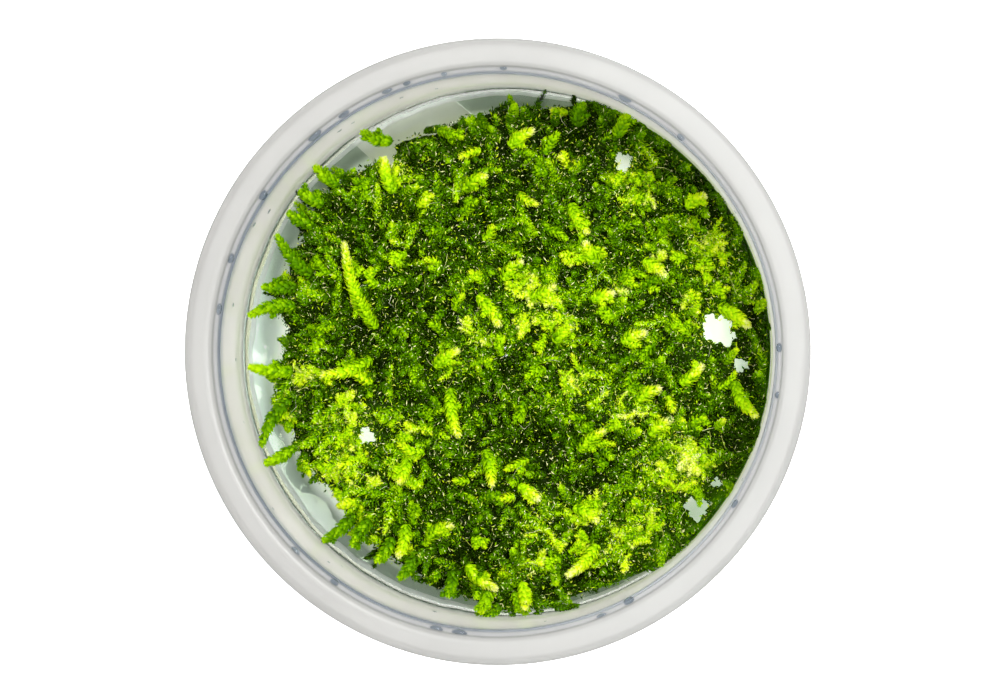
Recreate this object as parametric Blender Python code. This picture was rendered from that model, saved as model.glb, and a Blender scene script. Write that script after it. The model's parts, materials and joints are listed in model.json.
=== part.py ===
"""Aquarium moss growing on clear nutrient gel in a round frosted culture cup, with the lid off.

Lengths in the design are millimetres, turned into Blender's metres by MM when a mesh is made. +Z is up
and the origin is the middle of the foot ring's underside, on the cup's axis.
"""

import math

import bmesh
import bpy
from mathutils import Vector

MM = 0.001
CLEARANCE = 0.3  # between neighbours that touch

# Cup: one thin moulding, a straight wall with a broad lid rim.
RIM_RADIUS = 50.0
CUP_HEIGHT = 40.0
FLOOR_UNDERSIDE = 1.0
FLOOR_TOP = 1.8
FLOOR_RADIUS = 42.55
BASE_WALL_RADIUS = 43.35  # inside, just above the floor
LEDGE_HEIGHT = 12.8
LEDGE_INNER_RADIUS = 43.55
WALL_RADIUS_AT_LEDGE = 43.85
WALL_RADIUS_AT_TOP = 44.35
SEAL_GROOVE_Z = 36.9
LAND_Z = 38.6
SEAT_INNER_RADIUS = 46.8
SEAT_OUTER_RADIUS = 49.1
SKIRT_BOTTOM = 35.2
SKIRT_THICKNESS = 0.8
FOOT_OUTER_RADIUS = 44.15
FOOT_INNER_RADIUS = 43.5
CUP_STEPS = 60

# Nutrient gel: a flat pour in the bottom of the cup.
GEL_BOTTOM = FLOOR_TOP + CLEARANCE
GEL_TOP = 11.8
GEL_TOP_RADIUS = 43.2
GEL_BASE_RADIUS = 43.0
GEL_CORNER = 0.8

# Base label: a blank paper strip stuck under the floor, inside the foot ring, trimmed to the floor's edge.
LABEL_WIDTH = 16.8
LABEL_OFFSET = 14.7  # from the cup's axis to the strip's middle line
LABEL_HEADING = math.radians(135)  # where its outer end points, from +X
LABEL_INNER_END = -12.0
LABEL_TRIM_RADIUS = 42.6
LABEL_THICKNESS = 0.15
LABEL_ARC_STEPS = 10

# Moss mat: the tangled carpet under the loose shoots.
MAT_BOTTOM = GEL_TOP + CLEARANCE
MAT_EDGE_TOP = 14.0
MAT_RISE = 3.6  # from its edge to its middle
MAT_SHOULDER = 0.78  # where the flat middle ends, as a share of the way out
MAT_LUMP = 0.45
MAT_STEPS = 60
MAT_RINGS = (0.16, 0.31, 0.45, 0.58, 0.69, 0.78, 0.85, 0.91, 0.96, 1.0)
MAT_UNDERCUT = 0.985

# How far the carpet reaches from the axis, by heading: it meets the wall on one side and is ragged on the other.
MAT_OUTLINE = (
    (0, 42.9), (15, 42.8), (30, 42.7), (45, 42.8), (57, 43.0), (70, 42.4), (80, 41.0), (90, 40.1),
    (100, 39.2), (108, 38.4), (118, 39.2), (127, 38.3), (136, 39.6), (145, 40.2), (151, 38.4), (157, 39.4),
    (163, 37.9), (169, 38.9), (175, 36.4), (180, 36.9), (186, 38.6), (193, 39.3), (199, 37.6), (205, 38.4),
    (212, 38.3), (220, 36.6), (229, 37.8), (237, 38.9), (246, 39.8), (255, 39.9), (263, 41.4), (272, 42.9),
    (282, 42.0), (292, 42.0), (302, 42.0), (315, 43.0), (330, 43.0), (345, 43.0),
)

# Loose shoots: where each leaves the carpet, where it ends, its sideways bow and its width.
TOP_SHOOTS = (
    (-20.8, 3.8, -26.0, 17.5, 1.1, 2.3),
    (-21.5, -1.2, -29.5, -3.8, 0.6, 2.6),
    (-8.6, -6.0, -7.4, -13.6, -0.5, 2.6),
    (-11.2, -2.6, -7.6, 0.2, 0.3, 2.8),
    (-3.0, -16.0, -1.9, -21.6, 0.3, 2.5),
    (-4.2, 9.2, -0.8, 4.4, 0.3, 2.5),
    (11.0, 24.2, 13.6, 19.5, -0.3, 2.8),
    (15.6, 14.4, 13.4, 17.6, 0.3, 2.8),
    (22.8, 14.8, 26.2, 12.4, 0.3, 2.6),
    (14.4, 8.4, 17.8, 9.4, 0.2, 2.6),
    (0.0, 11.6, 2.8, 14.6, 0.3, 2.6),
    (4.4, 8.8, 8.2, 10.6, -0.2, 2.6),
    (8.4, 1.4, 11.2, 4.2, 0.3, 2.4),
    (19.4, 1.4, 23.0, 3.0, 0.3, 2.6),
    (28.8, -5.2, 32.2, -2.4, -0.3, 2.6),
    (22.0, -8.0, 25.4, -6.0, 0.3, 2.4),
    (23.8, -13.6, 27.2, -11.0, 0.2, 2.6),
    (37.6, -4.8, 41.0, -10.4, -0.6, 2.6),
    (35.0, 7.2, 39.8, 4.2, 0.4, 2.6),
    (12.4, -16.2, 16.2, -13.0, 0.3, 2.8),
    (29.8, 23.4, 32.6, 25.4, 0.2, 2.6),
    (1.0, 33.4, 4.6, 36.0, 0.3, 2.6),
    (-6.6, 26.4, -3.0, 28.6, 0.3, 2.6),
    (-17.8, 26.0, -19.6, 31.4, 0.5, 2.8),
    (-16.0, -28.2, -17.2, -33.2, 0.4, 2.6),
    (-12.2, -30.4, -8.6, -28.4, 0.3, 2.8),
    (-15.8, -17.4, -17.0, -21.2, 0.3, 2.4),
    (-6.0, -34.8, -1.4, -38.6, -0.4, 2.6),
    (2.4, -22.0, 5.6, -24.0, 0.3, 2.6),
    (11.4, -25.4, 15.2, -27.6, 0.3, 2.6),
    (15.2, -31.4, 10.6, -36.4, 0.5, 2.8),
    (3.0, -37.6, 3.4, -41.8, 0.2, 2.8),
)
EDGE_SHOOTS = (
    (-34.2, 7.4, -41.6, 6.0, -0.7, 2.4),
    (-31.5, 12.4, -37.2, 18.8, 0.5, 2.8),
    (-34.0, 10.6, -39.4, 10.6, 0.2, 2.4),
    (-34.6, -3.2, -41.6, -2.6, 0.3, 3.6),
    (-35.2, -7.8, -39.8, -15.2, -0.7, 2.3),
    (-34.6, -15.8, -39.2, -18.2, 0.3, 2.3),
    (-24.6, -26.6, -29.6, -30.9, 0.4, 2.3),
    (-21.8, -27.6, -24.8, -31.6, -0.3, 2.6),
    (-18.2, -30.4, -20.8, -34.2, 0.3, 2.4),
    (-14.4, -33.4, -17.0, -37.0, 0.2, 2.6),
    (-8.4, -35.8, -9.2, -39.8, 0.3, 2.6),
    (-2.6, -39.0, -3.8, -42.4, 0.2, 2.4),
    (-18.4, 34.4, -23.2, 35.9, 0.4, 2.4),
    (-27.2, 27.4, -31.0, 30.2, 0.3, 2.6),
    (-29.6, 24.2, -33.4, 26.2, 0.2, 2.4),
    (-31.2, 20.6, -35.2, 22.6, 0.2, 2.4),
    (12.0, 36.8, 12.8, 40.4, 0.2, 2.6),
    (18.6, 35.0, 20.2, 38.4, 0.2, 2.4),
)
SHOOT_THICKNESS = 1.0
SHOOT_SECTIONS = 7
SHOOT_DROOP = 0.3  # most that a shoot falls for each millimetre it runs
SHOOT_CLEARANCE = 0.4
LEAF_SCALLOP = 0.07  # alternate sections stand out and in, as the leaf rows do


def outline_radius(heading):
    """The carpet's reach in millimetres at a heading in radians, eased from point to point."""
    degrees = math.degrees(heading) % 360
    points = MAT_OUTLINE + ((MAT_OUTLINE[0][0] + 360, MAT_OUTLINE[0][1]),)
    for (start, near), (end, far) in zip(points, points[1:]):
        if start <= degrees <= end:
            share = (1 - math.cos(math.pi * (degrees - start) / (end - start))) / 2
            return near + (far - near) * share
    raise ValueError(f"no outline point for {degrees}")


def mat_top(x, y):
    """Height of the carpet's top over a place inside its outline, in millimetres."""
    out = min(1.0, math.hypot(x, y) / outline_radius(math.atan2(y, x)))
    fall = max(0.0, out - MAT_SHOULDER) / (1 - MAT_SHOULDER)
    lump = math.sin(x / 2.6 + 0.7) * math.cos(y / 3.1 - 0.4) + 0.6 * math.sin((x + y) / 4.3 + 1.1)
    return MAT_EDGE_TOP + MAT_RISE * (1 - fall * fall) + MAT_LUMP * lump * (1 - fall)


def support(x, y):
    """Height of whatever lies under a place: the carpet, or the gel beyond it."""
    margin = 0.7
    inside = math.hypot(x, y) < outline_radius(math.atan2(y, x)) + margin
    return mat_top(x, y) if inside else GEL_TOP


def paint(name, colour, roughness, transmission=0.0):
    material = bpy.data.materials.new(name)
    material.use_nodes = True
    material.diffuse_color = (*colour, 1.0)
    shader = material.node_tree.nodes["Principled BSDF"]
    shader.inputs["Base Color"].default_value = (*colour, 1.0)
    shader.inputs["Roughness"].default_value = roughness
    shader.inputs["Metallic"].default_value = 0.0
    shader.inputs["Transmission Weight"].default_value = transmission
    return material


def place(name, mesh, material):
    piece = bpy.data.objects.new(name, mesh)
    mesh.materials.append(material)
    bpy.context.scene.collection.objects.link(piece)
    return piece


def turned(name, profile, steps, material):
    """A turned solid. Its profile leaves the axis at the top and comes back to it at the bottom."""
    mesh = bpy.data.meshes.new(name)
    points = [(radius * MM, 0.0, height * MM) for radius, height in profile]
    mesh.from_pydata(points, [(i, i + 1) for i in range(len(points) - 1)], [])
    piece = place(name, mesh, material)
    screw = piece.modifiers.new("Turn", "SCREW")
    screw.axis = "Z"
    screw.steps = screw.render_steps = steps
    screw.use_merge_vertices = True
    screw.merge_threshold = 1e-5
    screw.use_smooth_shade = True
    return piece


def finish_bmesh(shape, name, material, smooth=True):
    mesh = bpy.data.meshes.new(name)
    bmesh.ops.recalc_face_normals(shape, faces=shape.faces)
    shape.to_mesh(mesh)
    shape.free()
    if smooth:
        mesh.shade_smooth()
        mesh.set_sharp_from_angle(angle=math.radians(50))
    return place(name, mesh, material)


def build_cup(material):
    skirt_inside = RIM_RADIUS - SKIRT_THICKNESS
    profile = [
        (0.0, FLOOR_TOP),
        (FLOOR_RADIUS, FLOOR_TOP),
        (FLOOR_RADIUS + 0.55, FLOOR_TOP + 0.25),
        (BASE_WALL_RADIUS, FLOOR_TOP + 0.8),
        (LEDGE_INNER_RADIUS, LEDGE_HEIGHT - 0.3),
        (WALL_RADIUS_AT_LEDGE, LEDGE_HEIGHT),
        (WALL_RADIUS_AT_TOP, SEAL_GROOVE_Z + 0.9),
        (WALL_RADIUS_AT_TOP + 0.08, SEAL_GROOVE_Z),
        (WALL_RADIUS_AT_TOP + 0.35, SEAL_GROOVE_Z),
        (WALL_RADIUS_AT_TOP + 0.45, LAND_Z),
        (WALL_RADIUS_AT_TOP + 1.0, LAND_Z + 0.2),
        (WALL_RADIUS_AT_TOP + 1.15, CUP_HEIGHT - 0.5),
        (SEAT_INNER_RADIUS - 0.7, CUP_HEIGHT - 0.1),
        (SEAT_INNER_RADIUS, CUP_HEIGHT),
        (SEAT_OUTER_RADIUS, CUP_HEIGHT),
        (RIM_RADIUS - 0.3, CUP_HEIGHT - 0.3),
        (RIM_RADIUS, CUP_HEIGHT - 1.0),
        (RIM_RADIUS, SKIRT_BOTTOM + 0.2),
        (RIM_RADIUS - 0.2, SKIRT_BOTTOM),
        (skirt_inside, SKIRT_BOTTOM),
        (skirt_inside - 0.1, CUP_HEIGHT - 1.3),
        (skirt_inside - 0.5, CUP_HEIGHT - 1.0),
        (SEAT_INNER_RADIUS - 0.6, CUP_HEIGHT - 1.2),
        (WALL_RADIUS_AT_TOP + 1.6, SEAL_GROOVE_Z + 0.2),
        (WALL_RADIUS_AT_TOP + 0.85, SEAL_GROOVE_Z - 1.4),
        (WALL_RADIUS_AT_LEDGE + 0.85, LEDGE_HEIGHT),
        (FOOT_OUTER_RADIUS, 0.3),
        (FOOT_OUTER_RADIUS - 0.15, 0.0),
        (FOOT_INNER_RADIUS, 0.0),
        (FOOT_INNER_RADIUS - 0.1, FLOOR_UNDERSIDE),
        (0.0, FLOOR_UNDERSIDE),
    ]
    return turned("cup", profile, CUP_STEPS, material)


def build_gel(material):
    profile = [
        (0.0, GEL_TOP),
        (GEL_TOP_RADIUS, GEL_TOP),
        (GEL_BASE_RADIUS, GEL_BOTTOM + GEL_CORNER),
        (GEL_BASE_RADIUS - GEL_CORNER, GEL_BOTTOM),
        (0.0, GEL_BOTTOM),
    ]
    return turned("nutrient_gel", profile, CUP_STEPS, material)


def build_label(material):
    """The strip lies along its heading: along is the way to its outer end, across the way from the axis."""
    near = LABEL_OFFSET - LABEL_WIDTH / 2
    far = LABEL_OFFSET + LABEL_WIDTH / 2
    outline = [(LABEL_INNER_END, far), (LABEL_INNER_END, near)]
    for step in range(LABEL_ARC_STEPS + 1):
        across = near + (far - near) * step / LABEL_ARC_STEPS
        outline.append((math.sqrt(LABEL_TRIM_RADIUS**2 - across**2), across))
    along_x, along_y = math.cos(LABEL_HEADING), math.sin(LABEL_HEADING)
    across_x, across_y = along_y, -along_x
    top = FLOOR_UNDERSIDE - CLEARANCE
    shape = bmesh.new()
    corners = [
        shape.verts.new((
            (along * along_x + across * across_x) * MM,
            (along * along_y + across * across_y) * MM,
            (top - LABEL_THICKNESS) * MM,
        ))
        for along, across in outline
    ]
    sheet = shape.faces.new(corners)
    raised = bmesh.ops.extrude_face_region(shape, geom=[sheet])["geom"]
    moved = [item for item in raised if isinstance(item, bmesh.types.BMVert)]
    bmesh.ops.translate(shape, vec=(0, 0, LABEL_THICKNESS * MM), verts=moved)
    return finish_bmesh(shape, "base_label", material, smooth=False)


def ring_of(shape, steps, point_at):
    return [shape.verts.new(Vector(point_at(2 * math.pi * i / steps)) * MM) for i in range(steps)]


def bridge(shape, first, second):
    for i, vertex in enumerate(first):
        after = (i + 1) % len(first)
        shape.faces.new((vertex, first[after], second[after], second[i]))


def fan(shape, centre, ring):
    for i, vertex in enumerate(ring):
        shape.faces.new((centre, vertex, ring[(i + 1) % len(ring)]))


def build_mat(material):
    """A lumpy disc with a ragged outline, flat underneath where it lies on the gel."""
    shape = bmesh.new()

    def top_point(share):
        def at(heading):
            reach = share * outline_radius(heading)
            x, y = reach * math.cos(heading), reach * math.sin(heading)
            return x, y, mat_top(x, y)
        return at

    def base_point(share):
        def at(heading):
            reach = share * outline_radius(heading)
            return reach * math.cos(heading), reach * math.sin(heading), MAT_BOTTOM
        return at

    rings = [ring_of(shape, MAT_STEPS, top_point(share)) for share in MAT_RINGS]
    rings.append(ring_of(shape, MAT_STEPS, base_point(MAT_UNDERCUT)))
    fan(shape, shape.verts.new((0, 0, mat_top(0, 0) * MM)), rings[0])
    for inner, outer in zip(rings, rings[1:]):
        bridge(shape, inner, outer)
    fan(shape, shape.verts.new((0, 0, MAT_BOTTOM * MM)), rings[-1])
    return finish_bmesh(shape, "moss_mat", material)


def shoot_path(x0, y0, x1, y1, bow, width):
    """Centres of a shoot's sections: a bowed run that rests on the carpet and droops past its edge."""
    start, end = Vector((x0, y0)), Vector((x1, y1))
    along = (end - start).normalized()
    aside = Vector((-along.y, along.x))
    step = (end - start).length / (SHOOT_SECTIONS - 1)
    points = []
    height = 0.0
    for i in range(SHOOT_SECTIONS):
        share = i / (SHOOT_SECTIONS - 1)
        centre = start.lerp(end, share) + aside * bow * math.sin(math.pi * share)
        sides = [centre + aside * width * k + along * step * j for k in (-0.6, 0, 0.6) for j in (-0.5, 0, 0.5)]
        rest = max(support(*side) for side in sides) + SHOOT_CLEARANCE + SHOOT_THICKNESS / 2
        height = max(rest, height - SHOOT_DROOP * step)
        points.append(Vector((centre.x, centre.y, height)))
    return points


def build_shoot(name, row, material):
    """A flat leafy shoot as one blunt solid: six-sided sections, widest past the middle, with a round tip."""
    width = row[-1]
    points = shoot_path(*row)
    shape = bmesh.new()
    rings = []
    for i, centre in enumerate(points):
        ahead = points[min(i + 1, len(points) - 1)] - points[max(i - 1, 0)]
        aside = Vector((-ahead.y, ahead.x, 0)).normalized()
        share = i / (len(points) - 1)
        swell = 0.62 + 0.38 * math.sin(math.pi * min(1.0, share * 1.15) ** 0.8)
        swell *= 1 + LEAF_SCALLOP * (-1) ** i
        swell *= 0.62 if i == len(points) - 1 else 1.0
        half, thick = width / 2 * swell, SHOOT_THICKNESS / 2 * min(1.0, 0.4 + swell * 0.6)
        section = (
            (half, 0), (half * 0.5, thick), (-half * 0.5, thick),
            (-half, 0), (-half * 0.5, -thick), (half * 0.5, -thick),
        )
        rings.append([shape.verts.new((centre + aside * a + Vector((0, 0, b))) * MM) for a, b in section])
    for first, second in zip(rings, rings[1:]):
        bridge(shape, first, second)
    shape.faces.new(rings[0])
    shape.faces.new(rings[-1])
    return finish_bmesh(shape, name, material)


def build():
    for old in list(bpy.data.objects):
        bpy.data.objects.remove(old, do_unlink=True)
    frosted = paint("frosted_plastic", (0.86, 0.88, 0.88), 0.35)
    gel = paint("nutrient_gel", (0.80, 0.88, 0.80), 0.08, transmission=0.9)
    paper = paint("label_paper", (0.80, 0.79, 0.74), 0.8)
    carpet = paint("moss_carpet", (0.05, 0.13, 0.01), 0.6)
    leaf = paint("moss_shoots", (0.22, 0.42, 0.02), 0.5)
    build_cup(frosted)
    build_gel(gel)
    build_label(paper)
    build_mat(carpet)
    for number, row in enumerate(TOP_SHOOTS, 1):
        build_shoot(f"top_shoot_{number:02d}", row, leaf)
    for number, row in enumerate(EDGE_SHOOTS, 1):
        build_shoot(f"edge_shoot_{number:02d}", row, leaf)


build()
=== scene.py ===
"""The finished look of the moss clump: leafy shoots on clear gel in a frosted culture cup, lid off.

Everything is in metres in the cup's own frame. Places that are easier to read in millimetres are written
in millimetres and multiplied by MM.
"""

import json
import math

import bpy
import numpy as np
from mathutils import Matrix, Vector
from mathutils.bvhtree import BVHTree

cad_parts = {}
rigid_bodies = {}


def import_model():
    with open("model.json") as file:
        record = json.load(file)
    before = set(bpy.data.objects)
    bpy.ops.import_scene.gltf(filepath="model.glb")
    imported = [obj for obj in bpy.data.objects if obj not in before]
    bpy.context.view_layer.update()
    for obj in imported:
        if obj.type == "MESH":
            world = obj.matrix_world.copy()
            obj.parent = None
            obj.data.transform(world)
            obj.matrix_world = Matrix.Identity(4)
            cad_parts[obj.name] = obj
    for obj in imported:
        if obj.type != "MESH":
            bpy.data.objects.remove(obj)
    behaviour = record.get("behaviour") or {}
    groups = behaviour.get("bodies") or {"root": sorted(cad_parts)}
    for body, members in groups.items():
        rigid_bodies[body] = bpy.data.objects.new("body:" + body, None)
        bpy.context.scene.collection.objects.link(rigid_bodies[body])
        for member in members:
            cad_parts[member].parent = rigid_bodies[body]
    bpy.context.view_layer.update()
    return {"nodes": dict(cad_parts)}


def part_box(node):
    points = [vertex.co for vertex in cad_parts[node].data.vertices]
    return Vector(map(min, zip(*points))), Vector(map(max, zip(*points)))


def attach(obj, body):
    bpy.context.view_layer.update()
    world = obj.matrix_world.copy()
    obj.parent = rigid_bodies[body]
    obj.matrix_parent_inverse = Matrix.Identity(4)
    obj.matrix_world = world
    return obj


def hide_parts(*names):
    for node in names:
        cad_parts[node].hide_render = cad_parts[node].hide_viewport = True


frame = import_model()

MM = 0.001

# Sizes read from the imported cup
RIM_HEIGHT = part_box("cup")[1].z / MM
GEL_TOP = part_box("nutrient_gel")[1].z / MM

# Places, in millimetres
WALL_RADIUS = 43.6  # inside the wall at the gel's surface
MOSS_LIMIT, MOSS_BENT_TO = 43.3, 43.2  # shoots that pass the first radius are bent back to the second
# Gaps in the carpet that show the gel: x, y, radius
GAPS = (
    (35.4, 3.2, 2.0), (33.8, 4.6, 1.2), (19.6, 31.0, 1.3), (38.6, -2.2, 0.9), (31.4, -25.6, 1.6),
    (-22.6, -13.8, 1.1), (-19.6, 32.4, 1.6), (34.6, -21.4, 0.6),
)
# Patches of the carpet that are paler or darker than the rest: x, y, radius, change of tone
PATCHES = (
    (-18.2, 30.0, 2.8, 0.5), (20.8, 27.8, 4.6, 0.55), (33.4, 16.6, 4.6, 0.5), (1.6, 11.6, 2.2, 0.5),
    (6.0, 9.8, 2.4, 0.5), (4.2, 5.0, 2.4, 0.4), (19.0, 10.4, 2.2, 0.35), (13.6, 15.6, 2.4, 0.4),
    (24.4, 13.2, 2.2, 0.35), (-4.2, 2.2, 1.8, 0.4), (12.4, -4.8, 2.6, 0.4), (9.0, 4.4, 3.0, 0.35),
    (33.4, 5.0, 3.6, 0.45), (28.4, -18.4, 5.2, 0.55), (22.6, -8.4, 2.6, 0.35), (19.0, -10.2, 2.2, 0.35),
    (-25.8, -11.2, 4.2, 0.45), (-15.0, -12.0, 2.4, 0.3), (-25.0, -20.0, 4.6, 0.45), (-16.8, -19.2, 2.6, 0.3),
    (6.4, -29.0, 2.2, 0.4), (13.6, -26.4, 2.4, 0.4), (12.6, -32.6, 2.6, 0.3), (23.0, -27.2, 3.4, 0.45),
    (19.0, -31.6, 2.8, 0.4), (3.6, -35.2, 2.0, 0.4), (-33.0, -3.0, 2.6, 0.35), (-37.4, -9.4, 2.4, 0.3),
    (-8.0, -2.2, 2.2, 0.3), (30.0, 27.0, 3.0, 0.1), (-34.0, 12.0, 3.6, 0.15),
    (-10.4, 18.2, 4.0, -0.2), (-29.4, 15.8, 3.6, -0.2), (-22.2, 0.2, 6.0, -0.2), (-1.0, -11.0, 6.6, -0.15),
    (-9.6, -18.2, 4.0, -0.2), (6.6, -18.2, 4.0, -0.2), (14.4, -23.6, 3.4, -0.15), (-3.4, -31.6, 4.6, -0.2),
    (13.6, 29.2, 4.0, -0.2), (9.2, 36.0, 5.0, -0.2), (26.2, 25.4, 4.4, -0.2), (37.0, -7.6, 3.4, -0.25),
    (35.2, -14.8, 4.0, -0.2), (-14.0, 6.0, 5.0, -0.12), (36.0, 24.0, 4.4, -0.2), (0.0, 24.0, 5.0, -0.12),
)


# ---------------------------------------------------------------- helpers for meshes


def new_mesh(name, points, faces):
    """A mesh from points and a list of face arrays, each with the same number of corners."""
    mesh = bpy.data.meshes.new(name)
    mesh.vertices.add(len(points))
    mesh.vertices.foreach_set("co", np.asarray(points, np.float32).ravel())
    corners = np.concatenate([np.asarray(part).ravel() for part in faces]).astype(np.int32)
    sizes = np.concatenate([np.full(len(part), np.asarray(part).shape[1]) for part in faces])
    starts = np.concatenate([[0], np.cumsum(sizes)[:-1]]).astype(np.int32)
    mesh.loops.add(len(corners))
    mesh.loops.foreach_set("vertex_index", corners)
    mesh.polygons.add(len(sizes))
    mesh.polygons.foreach_set("loop_start", starts)
    mesh.update(calc_edges=True)
    mesh.validate()
    return mesh


def add_to_scene(thing):
    bpy.context.scene.collection.objects.link(thing)


def add_piece(name, mesh, material, stands_for=()):
    piece = bpy.data.objects.new(name, mesh)
    add_to_scene(piece)
    mesh.materials.append(material)
    mesh.shade_smooth()
    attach(piece, "root")
    if stands_for:
        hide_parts(*stands_for)
    return piece


def ring_angles(steps):
    return np.arange(steps) * 2 * math.pi / steps


def ring_quads(rings, steps):
    """Quads that join each ring of points to the next one."""
    i, j = np.meshgrid(np.arange(rings - 1), np.arange(steps), indexing="ij")
    after = (j + 1) % steps
    corners = (i * steps + j, (i + 1) * steps + j, (i + 1) * steps + after, i * steps + after)
    return np.stack(corners, axis=-1).reshape(-1, 4)


def with_ends(points, steps, first_height, last_height):
    """Adds a point on the axis at each end of a stack of rings, and gives the fans that close it."""
    k, last_ring = np.arange(steps), len(points) - steps
    first = np.stack([np.full(steps, len(points)), k, (k + 1) % steps], axis=1)
    last = np.stack([np.full(steps, len(points) + 1), last_ring + (k + 1) % steps, last_ring + k], axis=1)
    return np.vstack([points, (0, 0, first_height), (0, 0, last_height)]), np.vstack([first, last])


def set_tones(mesh, tones):
    tone = mesh.attributes.new("tone", "FLOAT", "POINT")
    tone.data.foreach_set("value", tones.astype(np.float32))


class Growth:
    """Collects many small shapes, each with a tone for every point, into one mesh."""

    def __init__(self):
        self.points, self.tones, self.triangles, self.quads, self.count = [], [], [], [], 0

    def add(self, points, tones, triangles=None, quads=None):
        self.points.append(points)
        self.tones.append(np.broadcast_to(tones, (len(points),)))
        if triangles is not None:
            self.triangles.append(triangles + self.count)
        if quads is not None:
            self.quads.append(quads + self.count)
        self.count += len(points)

    def mesh(self, name):
        faces = [np.concatenate(part) for part in (self.triangles, self.quads) if part]
        mesh = new_mesh(name, np.concatenate(self.points) * MM, faces)
        set_tones(mesh, np.concatenate(self.tones))
        return mesh


# ---------------------------------------------------------------- helpers for materials


def new_material(name):
    material = bpy.data.materials.new(name)
    material.use_nodes = True
    return material, material.node_tree, material.node_tree.nodes["Principled BSDF"]


def set_values(node, **values):
    for key, value in values.items():
        node.inputs[key.replace("_", " ")].default_value = value


def give(tree, socket, value):
    """Links a socket to another one, or sets it to a fixed value."""
    if isinstance(value, bpy.types.NodeSocket):
        tree.links.new(value, socket)
    else:
        socket.default_value = value


def maths(tree, operation, *values, clamp=False):
    node = tree.nodes.new("ShaderNodeMath")
    node.operation = operation
    node.use_clamp = clamp
    for socket, value in zip(node.inputs, values):
        give(tree, socket, value)
    return node.outputs["Value"]


def mix(tree, factor, first, second, blend="MIX"):
    """One colour laid over another."""
    node = tree.nodes.new("ShaderNodeMix")
    node.data_type, node.blend_type = "RGBA", blend
    for key, value in (("Factor", factor), ("A", first), ("B", second)):
        give(tree, node.inputs[key], value)
    return node.outputs["Result"]


def ramp(tree, driver, *stops):
    """A colour that follows the driver through stops of (value, colour); a grey is given as one number."""
    node = tree.nodes.new("ShaderNodeValToRGB")
    tree.links.new(driver, node.inputs["Fac"])
    elements = node.color_ramp.elements
    while len(elements) < len(stops):
        elements.new(0.5)
    for element, (place, colour) in zip(elements, stops):
        element.position = place
        element.color = (*(colour if isinstance(colour, tuple) else (colour,) * 3), 1.0)
    return node.outputs["Color"]


def object_places(tree):
    return tree.nodes.new("ShaderNodeTexCoord").outputs["Object"]


def axes_of(tree, places):
    """X, Y, Z and the distance from the cup's axis."""
    split = tree.nodes.new("ShaderNodeSeparateXYZ")
    tree.links.new(places, split.inputs["Vector"])
    x, y, z = split.outputs
    squares = maths(tree, "ADD", maths(tree, "POWER", x, 2.0), maths(tree, "POWER", y, 2.0))
    return x, y, z, maths(tree, "SQRT", squares)


def noise(tree, places, scale, detail=3.0, roughness=0.5):
    node = tree.nodes.new("ShaderNodeTexNoise")
    tree.links.new(places, node.inputs["Vector"])
    set_values(node, Scale=scale, Detail=detail, Roughness=roughness)
    return node.outputs["Fac"]


def tone_of(tree):
    """The tone that each point of a mesh carries."""
    node = tree.nodes.new("ShaderNodeAttribute")
    node.attribute_name = "tone"
    return node.outputs["Fac"]


def ripple(tree, shader, height, strength, distance):
    """Fine waves that bend the light on a wet or moulded surface."""
    bump = tree.nodes.new("ShaderNodeBump")
    set_values(bump, Strength=strength, Distance=distance)
    tree.links.new(height, bump.inputs["Height"])
    tree.links.new(bump.outputs["Normal"], shader.inputs["Normal"])


def let_through(tree, shader, colour, share):
    """Lets a share of the light come through from behind, in the material's own colour."""
    behind = tree.nodes.new("ShaderNodeBsdfTranslucent")
    tree.links.new(colour, behind.inputs["Color"])
    blend = tree.nodes.new("ShaderNodeMixShader")
    blend.inputs["Fac"].default_value = share
    tree.links.new(shader.outputs["BSDF"], blend.inputs[1])
    tree.links.new(behind.outputs["BSDF"], blend.inputs[2])
    tree.links.new(blend.outputs["Shader"], tree.nodes["Material Output"].inputs["Surface"])


# ---------------------------------------------------------------- materials


def moss_greens_group():
    """Turns a tone, from 0 in the shade to 1 at a growing tip, into a moss colour with fine painted glints."""
    group = bpy.data.node_groups.new("Moss greens", "ShaderNodeTree")
    for label, value in (("Tone", 0.4), ("Flecks", 0.5)):
        socket = group.interface.new_socket(name=label, in_out="INPUT", socket_type="NodeSocketFloat")
        socket.default_value = value
    group.interface.new_socket(name="Color", in_out="OUTPUT", socket_type="NodeSocketColor")
    entry, leave = group.nodes.new("NodeGroupInput"), group.nodes.new("NodeGroupOutput")
    places = object_places(group)
    spread = maths(group, "MULTIPLY_ADD", noise(group, places, 420.0, 4.0, 0.6), 0.24, -0.12)
    shade = maths(group, "MULTIPLY", maths(group, "ADD", entry.outputs["Tone"], spread), 0.8, clamp=True)
    greens = ramp(
        group, shade,
        (0.0, (0.010, 0.024, 0.000)), (0.2, (0.040, 0.110, 0.000)), (0.4, (0.130, 0.360, 0.000)),
        (0.6, (0.500, 0.850, 0.002)), (0.78, (0.840, 0.970, 0.010)), (1.0, (0.990, 0.990, 0.480)),
    )
    # Painted glints: fine pale specks laid over the green for the sparkle of wet leaves.
    cells = group.nodes.new("ShaderNodeTexVoronoi")
    cells.inputs["Scale"].default_value = 1900.0
    group.links.new(places, cells.inputs["Vector"])
    painted_glint_spots = ramp(group, cells.outputs["Distance"], (0.0, 1.0), (0.10, 1.0), (0.16, 0.0))
    painted_glint_amount = maths(group, "MULTIPLY", painted_glint_spots, entry.outputs["Flecks"])
    group.links.new(mix(group, painted_glint_amount, greens, (0.62, 0.80, 0.30, 1.0)), leave.inputs["Color"])
    return group


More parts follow.
